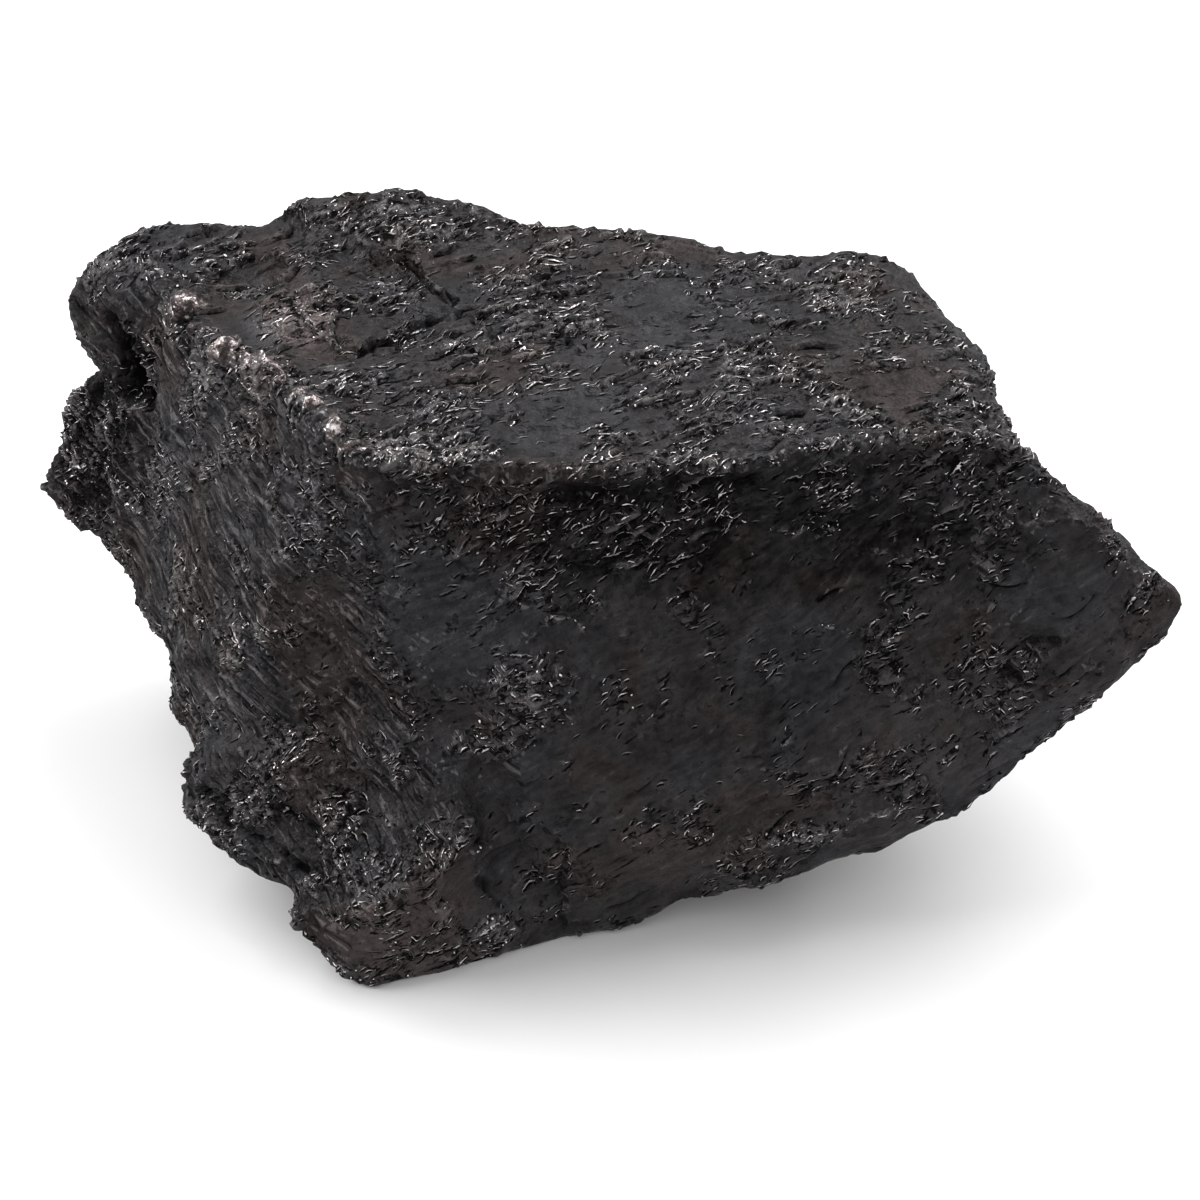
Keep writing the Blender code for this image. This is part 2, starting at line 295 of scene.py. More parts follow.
# What stands out on the stone by itself, each placed by the frame pixels that it lies under.
# A spot is (across, down, radius in pixels, height in mm).
# A line is (width in mm, height in mm, its points).
sidePushes = {  # wide and gentle, so that the outline sits right
    "leftSide": (190, 735, 95, -0.85), "footSide": (298, 925, 60, -0.5), "spurTop": (66, 440, 50, -0.6),
    "tipBelow": (1142, 648, 50, -0.5), "beakBelow": (1010, 760, 85, -0.45),
    "backRight": (985, 388, 65, -0.55), "edgeBelow": (680, 897, 80, -0.85),
    "footBelow": (318, 952, 45, -0.45), "cleftSide": (186, 800, 45, -0.5),
}

rimBeads = {  # glossy melt lumps along the left rim, paler, with painted highlights on them
    "hollowBead": [(186, 306, 16, 0.6), (189, 325, 12, -0.8)],
    "smallBeads": [(207, 338, 8, 0.5), (196, 331, 6, 0.35)],
    "bigBead": [(228, 353, 13, 0.9), (244, 362, 8, 0.5)],
    "doubleBead": [(257, 369, 10, 0.7), (271, 371, 9, 0.8), (284, 385, 9, 0.45)],
    "cornerBeads": [(304, 400, 11, 0.6), (315, 408, 10, 0.75), (327, 420, 9, 0.5), (335, 431, 10, 0.8)],
    "nearBeads": [(352, 450, 8, 0.4), (372, 456, 8, 0.45), (398, 452, 8, 0.35)],
}

pits = {  # small hollows, darkened with painted shade
    "topPits": [(536, 280, 9, -0.5), (548, 290, 8, -0.45), (560, 300, 9, -0.5), (531, 300, 7, -0.4),
                (567, 283, 6, -0.35), (553, 336, 8, -0.45), (566, 344, 9, -0.55), (580, 350, 8, -0.4),
                (715, 431, 9, -0.6), (690, 436, 6, -0.35)],
    "sidePits": [(206, 792, 7, -0.6), (150, 402, 12, -0.8), (136, 392, 11, -0.7), (150, 360, 10, -0.8),
                 (133, 340, 9, -0.6), (140, 376, 9, -0.6)],
    "beakPits": [(1012, 672, 9, -0.5), (1046, 690, 8, -0.4), (864, 404, 8, -0.4), (852, 372, 7, -0.35)],
    "footPits": [(420, 955, 8, -0.3)],
}

lumps = {  # small raised knobs
    "knuckle": [(510, 668, 9, 0.35), (536, 700, 12, 0.35), (560, 676, 8, 0.3), (572, 716, 8, 0.3),
                (548, 725, 9, 0.3)],
    "beakLumps": [(1050, 655, 11, 0.45), (1105, 672, 12, 0.35), (1086, 664, 7, 0.3),
                  (1120, 655, 7, 0.3)],
    "rimKnobs": [(890, 438, 6, 0.4), (903, 436, 6, 0.45), (978, 428, 7, 0.45), (986, 444, 6, 0.4),
                 (1008, 446, 6, 0.4), (1026, 455, 7, 0.4), (734, 433, 4, 0.35)],
    "footLumps": [(438, 915, 20, 0.5), (424, 922, 10, 0.3), (510, 925, 9, 0.35), (540, 908, 8, 0.3),
                  (386, 925, 9, 0.35)],
    "lipLumps": [(756, 830, 9, 0.35), (772, 836, 7, 0.3), (800, 832, 7, 0.35), (820, 828, 8, 0.3),
                 (886, 810, 15, 0.3)],
    "spurKnobs": [(92, 388, 9, 0.4), (80, 400, 10, 0.4), (72, 430, 9, 0.4), (76, 466, 8, 0.4),
                  (104, 381, 7, 0.4)],
    "crestBeads": [(452, 852, 5, 0.3), (462, 838, 5, 0.35), (470, 824, 5, 0.3)],
}

cracks = {  # painted shade along each, darkest in narrow ones
    "underRim": (1.3, -0.55, [(390, 490), (440, 496), (520, 498), (600, 494), (680, 488), (740, 482),
                              (800, 476), (870, 464), (940, 458), (996, 460)]),
    "topFissure": (0.45, -0.75, [(392, 260), (406, 262), (419, 274), (438, 291), (455, 302)]),
    "topFissureLow": (0.5, -0.7, [(455, 302), (440, 316), (415, 327), (396, 339), (373, 343),
                                  (361, 354)]),
    "topFissureRight": (0.35, -0.5, [(455, 314), (472, 318), (487, 331), (499, 343)]),
    "shortCracks": (0.3, -0.5, [(465, 383), (476, 382), (487, 381)]),
    "shortCrackB": (0.3, -0.5, [(443, 388), (463, 388)]),
    "shortCrackC": (0.3, -0.4, [(501, 421), (518, 421)]),
    "backCrack": (0.25, -0.4, [(623, 363), (636, 366), (648, 363)]),
    "notchCrack": (0.3, -0.5, [(203, 227), (210, 236)]),
    "backSlit": (0.3, -0.45, [(241, 268), (248, 263), (254, 259)]),
    "cleft": (0.9, -1.0, [(112, 318), (128, 345), (140, 372), (150, 402)]),
    "cleftLow": (0.5, -0.6, [(124, 330), (118, 352), (128, 372)]),
    "plateauFoot": (0.35, -0.4, [(337, 304), (336, 330), (340, 352)]),
    "beakGroove": (0.4, -0.45, [(1004, 667), (1020, 650), (1035, 641), (1057, 641)]),
    "pocketEdge": (0.35, -0.4, [(539, 826), (553, 838), (567, 852), (558, 880), (565, 926)]),
    "lowCrack": (0.4, -0.5, [(216, 812), (236, 826), (262, 838), (286, 852)]),
    "beadCrack": (0.4, -0.5, [(200, 345), (222, 376), (250, 402), (290, 424)]),
    "sideCrack": (0.3, -0.4, [(152, 486), (160, 500), (166, 520)]),
    "heelHollow": (0.6, -0.45, [(280, 808), (294, 815), (306, 826), (318, 830)]),
    "heelHollowLow": (0.6, -0.45, [(284, 856), (298, 866), (316, 868)]),
    "footHollow": (0.6, -0.4, [(480, 878), (490, 888), (498, 902)]),
    "middleCrack": (0.35, -0.35, [(560, 560), (590, 570), (612, 566)]),
}

ridges = {  # raised edges, with a painted highlight along them
    "frontRim": (0.9, 0.3, [(350, 462), (400, 468), (470, 474), (560, 474), (640, 468), (700, 464),
                            (770, 456), (850, 446), (930, 440), (1004, 442)]),
    "leftRim": (1.3, 0.5, [(148, 268), (168, 292), (190, 320), (212, 342), (240, 364), (274, 386),
                           (306, 410), (336, 436)]),
    "kneeRidge": (0.45, 0.35, [(149, 278), (178, 277), (205, 278), (224, 273), (252, 255)]),
    "plateauEdge": (0.4, 0.45, [(270, 311), (290, 308), (315, 307), (327, 300), (340, 301)]),
    "plateauWall": (0.4, 0.35, [(332, 302), (332, 330), (336, 350)]),
    "brightSlab": (0.5, 0.45, [(143, 261), (149, 265), (155, 271)]),
    "topLedge": (0.35, 0.3, [(419, 402), (424, 394), (444, 393), (463, 392)]),
    "backLip": (0.6, 0.35, [(459, 207), (480, 214), (501, 222), (520, 229), (537, 232), (606, 236)]),
    "rimLip": (0.5, 0.3, [(640, 458), (668, 455), (704, 456)]),
    "rimLine": (0.4, 0.35, [(712, 469), (735, 468), (762, 462), (782, 458), (806, 449), (840, 446),
                            (873, 440), (907, 438)]),
    "rimLineLeft": (0.4, 0.35, [(356, 458), (380, 462), (404, 460), (430, 470), (460, 462),
                                (492, 458)]),
    "rightBorder": (0.4, 0.4, [(929, 367), (954, 388), (985, 413), (1000, 428)]),
    "shoulderLine": (0.3, 0.3, [(981, 531), (1016, 522), (1045, 522), (1075, 521), (1094, 528),
                                (1107, 546), (1133, 572), (1153, 574)]),
    "footCrest": (0.35, 0.45, [(382, 905), (414, 887), (436, 874), (447, 862), (471, 852), (488, 846)]),
    "footCrestHigh": (0.3, 0.3, [(444, 862), (455, 846), (465, 832), (471, 820)]),
    "sideEdge": (0.35, 0.35, [(107, 372), (116, 386), (124, 397), (130, 416), (132, 449), (143, 468)]),
    "sideRidge": (0.3, 0.3, [(139, 449), (150, 443), (162, 437), (183, 422)]),
    "sideRidgeHigh": (0.25, 0.3, [(132, 412), (142, 402), (151, 393)]),
    "peakLines": (0.25, 0.22, [(524, 644), (538, 630), (553, 615), (568, 621), (584, 629)]),
    "levelLine": (0.25, 0.22, [(492, 679), (512, 680), (545, 677), (582, 678)]),
    "faceLineA": (0.25, 0.22, [(771, 525), (780, 528), (793, 529), (815, 526), (838, 525)]),
    "faceLineB": (0.25, 0.22, [(808, 485), (842, 487), (860, 491), (875, 496)]),
    "faceLineC": (0.25, 0.22, [(853, 554), (864, 549), (890, 553), (913, 561)]),
    "faceLineD": (0.25, 0.2, [(817, 625), (835, 627), (851, 630)]),
    "highLine": (0.25, 0.25, [(1034, 479), (1047, 481), (1060, 483)]),
    "pitScratch": (0.25, 0.25, [(241, 807), (250, 800), (258, 790), (267, 777)]),
    "pitSlash": (0.25, 0.3, [(252, 829), (262, 822), (271, 814)]),
    "lowSlash": (0.25, 0.25, [(556, 769), (564, 764), (571, 759)]),
    "curledLip": (0.4, 0.45, [(299, 920), (304, 913), (310, 911)]),
    "heelRim": (0.35, 0.35, [(199, 806), (222, 828), (262, 850), (290, 868)]),
    "lowerLip": (0.5, 0.3, [(742, 842), (775, 840), (810, 834), (850, 822), (905, 806)]),
    "vMark": (0.25, 0.3, [(782, 355), (785, 376), (789, 357)]),
    "ringPit": (0.2, 0.35, [(206, 783), (213, 786), (215, 793), (211, 800), (203, 801), (198, 795),
                            (199, 787), (206, 783)]),
}

# Areas of the crust: (across, down, half width, half height in pixels, strength).
roughGround = {  # flakier crust
    "backBump": (405, 228, 78, 26, 0.9), "rightCorner": (842, 288, 40, 36, 0.7),
    "midFlecks": (733, 380, 26, 16, 0.7), "nearFlecks": (782, 432, 26, 14, 0.8),
    "rightFlecks": (842, 404, 22, 12, 0.7), "nearLeft": (420, 452, 76, 18, 1.0),
    "nearLeftBand": (470, 500, 130, 30, 0.45), "plateauGround": (292, 326, 40, 22, 0.8),
    "rimBand": (230, 366, 60, 40, 0.5), "knuckleGround": (535, 694, 48, 50, 0.8),
    "heelShine": (338, 812, 30, 26, 0.9), "footShine": (372, 860, 16, 12, 0.7),
    "footEdge": (500, 926, 26, 14, 0.8), "lipGround": (796, 832, 60, 16, 0.6),
    "topMiddle": (420, 400, 90, 60, 0.3), "topBack": (560, 310, 60, 40, 0.5),
    "frontBand": (700, 500, 330, 40, 0.15), "knobGround": (112, 268, 40, 24, 0.6),
    "spurGround": (84, 440, 30, 50, 0.7), "footGround": (430, 940, 70, 30, 0.5),
}
calmGround = {  # smoother crust
    "blueMiddle": (450, 620, 60, 66, 0.7), "blueTop": (600, 390, 40, 30, 0.7),
    "redSmooth": (902, 384, 28, 16, 0.6), "smoothTop": (240, 330, 40, 20, 0.5),
    "smoothLeft": (330, 240, 60, 26, 0.5), "smoothLow": (640, 760, 90, 50, 0.5),
    "smoothBrown": (640, 860, 60, 30, 0.6), "smoothRight": (690, 320, 60, 30, 0.5),
    "smoothMiddle": (735, 722, 120, 55, 0.6),
}
paleGround = {  # paler crust
    "plateauPale": (296, 324, 38, 22, 0.9), "footPink": (437, 916, 14, 20, 0.55),
    "lowPale": (541, 805, 13, 10, 0.35), "beadPale": (228, 354, 16, 9, 0.5),
    "beadPaleB": (266, 369, 14, 8, 0.55), "beadPaleC": (316, 406, 14, 8, 0.5),
    "beadPaleD": (335, 429, 8, 9, 0.5), "kneePale": (192, 304, 14, 6, 0.4),
    "chamferPale": (1078, 696, 40, 18, 0.25),
}
toneWithPaintedLight = {  # how much lighter or darker the crust is, over wide areas: partly its own tone, partly painted light and shade
    # lowerRight, lowMiddle, tipTone, brownLow and footTone lighten the lower parts: painted light from the
    # floor's bounce
    "lowerRight": (960, 740, 150, 60, 0.4), "lowMiddle": (780, 800, 170, 60, 0.22),
    "tipTone": (1120, 620, 70, 60, 0.2), "brownLow": (640, 860, 110, 40, 0.3),
    "footTone": (420, 930, 100, 70, 0.7), "spurTone": (96, 440, 44, 70, -1.1),
    # rimShade is painted shade in the band under the front rim
    "rimShade": (740, 530, 280, 70, -0.6), "nearLeftTone": (230, 480, 120, 90, 0.15),
    "topRightTone": (840, 350, 120, 60, -0.2), "midTone": (725, 730, 130, 60, -0.2),
    "rimFrontTone": (440, 455, 90, 24, -0.3), "plateauTone": (296, 324, 44, 28, 1.3),
    "knobTone": (110, 268, 44, 26, 0.35),
}
tintGround = {  # brown below nought, bluish above it
    "underRimBrown": (530, 512, 90, 50, -1.2), "kneeBrown": (270, 250, 40, 18, -0.8),
    "topBrown": (400, 262, 40, 14, -0.8), "rightBrown": (880, 384, 60, 22, -1.0),
    "leftBrown": (340, 690, 80, 50, -1.0), "lowBrown": (640, 860, 120, 40, -1.1),
    "footBrown": (420, 930, 90, 60, -0.8), "rimBrown": (700, 470, 160, 22, -0.7),
    "middleBlue": (455, 630, 70, 80, 1.3), "topBlue": (600, 390, 70, 40, 1.2),
    "slopeBlue": (470, 340, 60, 40, 0.7), "flowBlue": (640, 600, 120, 50, 0.7),
    "backBlue": (700, 300, 80, 40, 0.6), "knobGreen": (110, 268, 50, 28, 0.2),
    "midBrown": (780, 550, 160, 60, -0.8),
}
glintGround = {  # clusters of painted glints
    "backGlints": (400, 228, 70, 22, 0.5), "cornerGlints": (842, 288, 36, 30, 0.5),
    "midGlints": (733, 380, 20, 12, 0.6), "nearGlints": (782, 432, 22, 10, 0.8),
    "rightGlints": (842, 404, 20, 10, 0.7), "rimGlints": (430, 452, 70, 14, 1.0),
    "knuckleGlints": (535, 694, 40, 40, 0.35), "heelGlints": (338, 812, 26, 24, 0.7),
    "heelGlintsLow": (372, 860, 12, 8, 0.7), "footGlints": (500, 926, 20, 12, 0.6),
    "rimKnobGlints": (897, 437, 12, 8, 0.8), "cornerRimGlints": (980, 437, 12, 14, 0.8),
    "rightRimGlints": (1018, 450, 20, 10, 0.7), "lipGlints": (668, 458, 34, 7, 0.7),
    "plateauGlints": (296, 324, 30, 16, 0.6), "knobGlints": (104, 258, 30, 14, 0.6),
    "spurGlints": (68, 440, 10, 56, 0.6), "lowLipGlints": (800, 832, 50, 10, 0.4),
}
darkGround = {  # hollows darkened with painted shade
    "cleftDark": (134, 365, 20, 46, 0.8), "hollowDark": (188, 325, 12, 7, 0.6),
    "underRim": (600, 500, 60, 24, 0.5), "pocketDark": (492, 892, 18, 18, 0.25),
    "heelDark": (298, 820, 18, 12, 0.35), "heelDarkLow": (300, 864, 18, 11, 0.35),
    "spurDark": (104, 432, 22, 40, 0.5),
}


def spotOn(tree, px, py):
    # the place on the stone under a pixel of the frame, or None beside the stone
    spot = tree.ray_cast(*sightLine(px, py))[0]
    return None if spot is None else np.array(spot)


def lineOn(tree, path, step=5, stray=2.2):
    # the line on the stone under a path of frame pixels, straying a little to both sides
    spots = []
    for (ax, ay), (bx, by) in zip(path, path[1:]):
        count = max(1, round(math.dist((ax, ay), (bx, by)) / step))
        for k in range(count):
            px = ax + (bx - ax) * k / count
            py = ay + (by - ay) * k / count
            aside = stray * math.sin(3.1 * px + py)
            below = stray * math.sin(2.3 * px - 1.7 * py)
            spots.append(spotOn(tree, px + aside, py + below))
    spots.append(spotOn(tree, *path[-1]))
    return [spot for spot in spots if spot is not None]


def distanceToLine(points, line):
    nearest = np.full(len(points), 99.0)
    for start, end in zip(line, line[1:]):
        run = end - start
        along = np.clip((points - start) @ run / max(run @ run, 1e-9), 0, 1)
        nearest = np.minimum(nearest, np.linalg.norm(points - start - along[:, None] * run, axis=1))
    return nearest


markPlan = {  # how the single marks show in the relief and in the finish
    "inView": -0.15,                # points that face further away than this take no marks
    "wobble": ((1.0, 0.45), (0.5, 0.3)),    # size and strength of what makes their edges ragged
    "spotRagged": 1.7,              # how much of the wobble a spot's edge takes
    "spotEdge": (1.25, 0.2),        # in radii: where a spot ends, and where it has its full height
    "spotProud": 0.3,               # how much of a spot's height counts as worn high ground
    "pitDark": (0.45, 1.0, 0.3),    # painted shade in pits: strength, then where it ends and where it is full
    "beadCalm": (0.7, 1.2, 0.6),
    "beadMelt": (1.15, 0.5),
    "lineRagged": 0.12,             # mm
    "lineEdge": (1.0, 0.1),         # in widths
    "lineHeight": (0.35, 0.8),      # where the line is weakest, and what its strong parts add
    "lineReach": 25,                # pixels round a line in which it is worked out
    "crackDark": (0.85, 0.4),       # strength of the painted shade in cracks under 1 mm wide, and in wider ones
    "wideShine": 0.45,              # ridges of 0.7 mm and more get a weaker painted highlight
    "areaRagged": 0.4,
    "areaEdge": (1.3, 0.5),         # in half sizes: where an area ends, and where it is full
    "calmOverRough": 0.8,           # how much flakiness a calm place loses
}


def pressSpot(made, group, middle, place, spot, points, wobble, pixel):
    plan = markPlan
    px, py, radius, height = spot
    across, down = place
    near = np.abs(across - px) + np.abs(down - py) < radius * 4
    gap = np.linalg.norm(points[near] - middle, axis=1) / (radius * pixel) + plan["spotRagged"] * wobble[near]
    bump = height * softStep(*plan["spotEdge"], gap)
    made["height"][near] += bump
    made["proud"][near] += bump * plan["spotProud"]
    # a pit takes painted shade
    if height < 0:
        strength, far, full = plan["pitDark"]
        made["dark"][near] += strength * softStep(far, full, gap)
    if group is rimBeads and height > 0:
        strength, far, full = plan["beadCalm"]
        made["calm"][near] = np.maximum(made["calm"][near], strength * softStep(far, full, gap))
        made["melt"][near] += softStep(*plan["beadMelt"], gap)


def pressLine(made, line, place, path, width, height, points, wobble):
    plan = markPlan
    across, down = place
    reach = plan["lineReach"]
    xs, ys = zip(*path)
    near = (across > min(xs) - reach) & (across < max(xs) + reach)
    near &= (down > min(ys) - reach) & (down < max(ys) + reach)
    if len(line) < 2 or not near.any():
        return
    gap = distanceToLine(points[near] + plan["lineRagged"] * wobble[near][:, None], line) / width
    uneven = softStep(-0.35, 0.25, wobble[near])
    weak, more = plan["lineHeight"]
    made["height"][near] += height * softStep(*plan["lineEdge"], gap) * (weak + more * uneven)
    # a crack takes painted shade along it
    if height < 0:
        narrow, wide = plan["crackDark"]
        strength = narrow if width < 1 else wide
        made["dark"][near] += strength * softStep(0.9, 0.2, gap) * uneven
    # a ridge takes a painted highlight along it
    elif width < 0.7:
        made["shine"][near] += softStep(0.95, 0.3, gap) * uneven
    else:
        made["shine"][near] += plan["wideShine"] * softStep(0.9, 0.2, gap) * uneven


def markStone(tree, points, normals):
    # the single marks, as heights and as masks for the finish
    plan = markPlan
    across, down = place = framePixels(points)
    inView = normals @ np.array(cameraAxes()[3]) > plan["inView"]
    across[~inView] = -9999
    pixel = cameraPlan["distance"] * cameraPlan["sensor"] / cameraPlan["lens"] / cameraPlan["frameSide"]
    kinds = ("height", "proud", "rough", "calm", "pale", "dark", "melt", "shine", "toneAndPaintedLight", "tint")
    made = {key: np.zeros(len(points)) for key in kinds}
    (wide, strong), (fine, weak) = plan["wobble"]
    wobble = strong * smoothNoise(points / wide, 71) + weak * smoothNoise(points / fine, 72)
    for px, py, radius, height in sidePushes.values():
        middle = spotOn(tree, px, py)
        if middle is not None:
            gap = np.linalg.norm(points - middle, axis=1) / (radius * pixel)
            made["height"] += height * softStep(1, 0, gap)
    for group in (rimBeads, pits, lumps):
        for spot in sum(group.values(), []):
            middle = spotOn(tree, *spot[:2])
            if middle is not None:
                pressSpot(made, group, middle, place, spot, points, wobble, pixel)
    for group in (cracks, ridges):
        for width, height, path in group.values():
            pressLine(made, lineOn(tree, path), place, path, width, height, points, wobble)
    areas = {
        "rough": roughGround, "calm": calmGround, "pale": paleGround, "dark": darkGround,
        "shine": glintGround, "toneAndPaintedLight": toneWithPaintedLight, "tint": tintGround,
    }
    for key, grounds in areas.items():
        for px, py, halfWidth, halfHeight, strength in grounds.values():
            reach = np.hypot((across - px) / halfWidth, (down - py) / halfHeight)
            reach += plan["areaRagged"] * wobble
            made[key] += strength * softStep(*plan["areaEdge"], reach)
    made["rough"] -= plan["calmOverRough"] * made["calm"]
    for key in ("calm", "pale", "dark", "melt", "shine"):
        made[key] = np.clip(made[key], 0, 1)
    return made


reliefPlan = {
    "heave": ((7.5, 0.30), (2.4, 0.10)),    # broad swells and small ones: size, height
    "patch": (5.0, -0.25, 0.5),     # size of the flaky patches, then the field where they begin and are full
    "flakiest": 1.7,                # no place counts as flakier than this
    "grainBend": (2.6, 0.6),        # how the grain wanders: size, strength
    "flakeSteps": (1.8, 0.10),      # flakes to one unit of their field, and how sharply each rises
    "faceBorder": (1.5, 0.25),      # how ragged the borders between two faces are: size, strength
    "calming": 0.7,                 # how much of the relief a fully calm place loses
    "tint": (8.0, 1.6),             # brown and bluish patches: size, strength
    "mottle": (2.2, 0.28),          # lighter and darker spots: size, strength
    "swirl": ((2.2, 0.14), (9.0, 1.3)),     # how the small flakes' rows bend: size, strength
}


def faceRelief(name, points, patch, seed):
    # heights of one face's flakes and broken edges, and how proud each point stands
    face = brokenFaces[name]
    size, strength = reliefPlan["grainBend"]
    bend = np.stack([smoothNoise(points / size, seed + k) for k in (1, 2, 3)], axis=1)
    grain = grainFrame(face, points) + strength * bend
    length, width, height = face["flakes"]
    field = fractalNoise(stretched(grain, length, width), seed + 10, 3)
    flakes = height * shingles(field, *reliefPlan["flakeSteps"]) * (0.3 + 0.7 * patch)
    length, width, height = face["ripples"]
    field = fractalNoise(stretched(grain, length, width), seed + 20, 2)
    ripples = height * (0.3 - np.abs(field)) * (0.8 + 0.4 * patch)
    relief = flakes + ripples
    proud = 0.8 * flakes + 0.6 * ripples
    for number, size in enumerate((face["edges"], face["chips"])):
        height, share = size[2:]
        step, ditch, chance = brokenEdges(grain, size, seed + 40 + number)
        there = softStep(0, -0.15, chance - share * (0.35 + 0.85 * patch))
        relief += height * there * (step - 0.8 * ditch)
        proud += height * there * (softStep(0.5, 1, step) - 1.2 * ditch)
    return relief, proud


def pressRelief(stone, tree):
    plan = reliefPlan
    mesh = stone.data
    points = pointsOf(mesh)
    normals = pointsOf(mesh, "normal")
    (broad, high), (small, low) = plan["heave"]
    heave = high * fractalNoise(points / broad, 101, 3) + low * fractalNoise(points / small, 131, 2)
    size, begin, full = plan["patch"]
    patch = softStep(begin, full, fractalNoise(points / size, 151, 4, 0.6))
    shares = faceShares(normals)
    patch += sum(share * brokenFaces[name]["rough"] for name, share in shares.items())
    marks = markStone(tree, points, normals)
    patch = np.clip(patch + marks["rough"], 0, plan["flakiest"])
    relief = heave.astype(np.float64)
    proud = np.zeros(len(points))
    for number, (name, share) in enumerate(shares.items()):
        near = share > 0.01
        heights, standing = faceRelief(name, points[near], patch[near], 200 + 50 * number)
        relief[near] += heights * share[near]
        proud[near] += standing * share[near]
    relief = relief * (1 - plan["calming"] * marks["calm"]) + marks["height"]
    proud += marks["proud"]
    calmNearFloor = softStep(0, stonePlan["floorSkin"], points[:, 2])
    points += normals * (relief * calmNearFloor)[:, None]
    points[:, 2] = np.maximum(points[:, 2], 0)
    mesh.vertices.foreach_set("co", points.astype(np.float32).ravel())
    mesh.update()
    keepForFinish(mesh, points, proud, patch, marks)
    print("stone: relief pressed in")


def keepForFinish(mesh, points, proud, patch, marks):
    # what the crust's material reads at each point
    plan = reliefPlan
    size, strength = plan["tint"]
    tint = strength * fractalNoise(points / size, 171, 3, 0.6) + marks["tint"]
    size, strength = plan["mottle"]
    mottle = 0.5 + strength * fractalNoise(points / size, 191, 3)
    layers = {"proud": proud, "mottle": mottle, "patch": patch, "tint": np.clip(tint, -1, 1)}
    for label in ("toneAndPaintedLight", "pale", "dark", "melt", "shine"):
        layers[label] = marks[label]
    for label, values in layers.items():
        layer = mesh.attributes.new(label, "FLOAT", "POINT")
        layer.data.foreach_set("value", values.astype(np.float32))
    (near, little), (far, much) = plan["swirl"]
    swirl = [little * fractalNoise(points / near, 195 + k, 2) + much * fractalNoise(points / far, 221 + k, 2)
             for k in range(3)]
    swirl = np.stack(swirl, axis=1)
    layer = mesh.attributes.new("swirl", "FLOAT_VECTOR", "POINT")
    layer.data.foreach_set("vector", swirl.astype(np.float32).ravel())


def giveGrain(mesh):
    # each triangle is told which way its broken face flows, and which way lies across the flow
    normals = np.empty(len(mesh.polygons) * 3)
    mesh.polygon_normals.foreach_get("vector", normals)
    middles = np.empty(len(mesh.polygons) * 3)
    mesh.polygons.foreach_get("center", middles)
    normals, middles = normals.reshape(-1, 3), middles.reshape(-1, 3) / mm
    size, strength = reliefPlan["faceBorder"]
    normals += strength * np.stack([smoothNoise(middles / size, 181 + k) for k in range(3)], axis=1)
    shares = np.stack(list(faceShares(normals).values()), axis=1)
    frames = []
    for face in brokenFaces.values():
        flow = Vector(face["flow"]).normalized()
        across = Vector(face["normal"]).cross(flow).normalized()
        frames.append((*flow, *across, *face["habit"]))
    chosen = np.array(frames)[shares.argmax(axis=1)]
    for number, label in enumerate(("flow", "across", "habit")):
        layer = mesh.attributes.new(label, "FLOAT_VECTOR", "FACE")
        layer.data.foreach_set("vector", chosen[:, 3 * number:3 * number + 3].astype(np.float32).ravel())


def thinOut(stone):
    # fewer triangles, kept densest on the sides that are seen first
    mesh = stone.data
    normals = pointsOf(mesh, "normal")
    toCamera = normals @ np.array(cameraAxes()[3])
    edgeOn, facing, least = stonePlan["thinWeight"]
    loose = np.clip(edgeOn + facing * toCamera, least, 1)
    group = stone.vertex_groups.new(name="thin")
    tenths = np.round(loose * 10).astype(int)
    for tenth in range(1, 11):
        chosen = np.nonzero(tenths == tenth)[0]
        group.add([int(i) for i in chosen], tenth / 10, "REPLACE")
    decimate = stone.modifiers.new("thin out", "DECIMATE")
    decimate.ratio = stonePlan["triangles"] / (2 * len(mesh.polygons))
    decimate.use_collapse_triangulate = True
    decimate.vertex_group = group.name
    decimate.vertex_group_factor = stonePlan["backThinning"]
    thin = evaluatedMesh(stone)
    stone.modifiers.clear()
    stone.vertex_groups.clear()
    stone.data = thin
    thin.transform(Matrix.Scale(mm, 4))
    thin.shade_smooth()
    thin.name = "stone"
    giveGrain(thin)
    inFront = pointsOf(thin, "normal") @ np.array(cameraAxes()[3]) > 0
    print("stone:", len(thin.polygons), "triangles,", inFront.sum(), "of", len(inFront), "points in front")


crustFinish = {
    "slate": (0.0300, 0.0280, 0.0287),
    "blueGrey": (0.0300, 0.0290, 0.0316),
    "brown": (0.0335, 0.0276, 0.0270),
    "worn": (0.92, 0.86, 0.85),         # painted highlights on flake edges, specks and glints, and high spots rubbed pale
    "paintedShadeColour": (0.0020, 0.0018, 0.0018),   # near-black painted shade in cracks, pits and hollows, also the dark dashes of the streaks
    "sheen": 0.38,                      # how metallic the plain crust is
    "wornSheen": 0.35,                  # what worn edges, painted glints and melt add to that
    "roughness": (0.50, 0.30),          # satin patches, flaky patches
    "specular": 0.04,
    "depth": 0.16,                      # of the fine relief, in mm
    "grit": (1.5, 2.5, 0.68),           # lumps a millimetre, detail, how strong the detail is
    "largeFlakes": (2.5, 1.15, 1.0),    # room for one flake edge: along the flow, across it, through it
    "smallFlakes": (1.0, 0.50, 1.0),
    "thickness": (0.075, 0.135),        # of large and small flake edges, as a share of their room
    "flakeHeight": (0.8, 0.5),
    "largeShare": 0.85,                 # how common large flake edges are, next to small ones
    "bits": 2.8,                        # specks and pits a millimetre
    "streaks": (0.5, 1.5, 1.0),         # how closely they sit along the flow and across it
    "bright": (3.5, 2.3),               # how few flake edges carry a bright painted highlight, and how bright those are
}


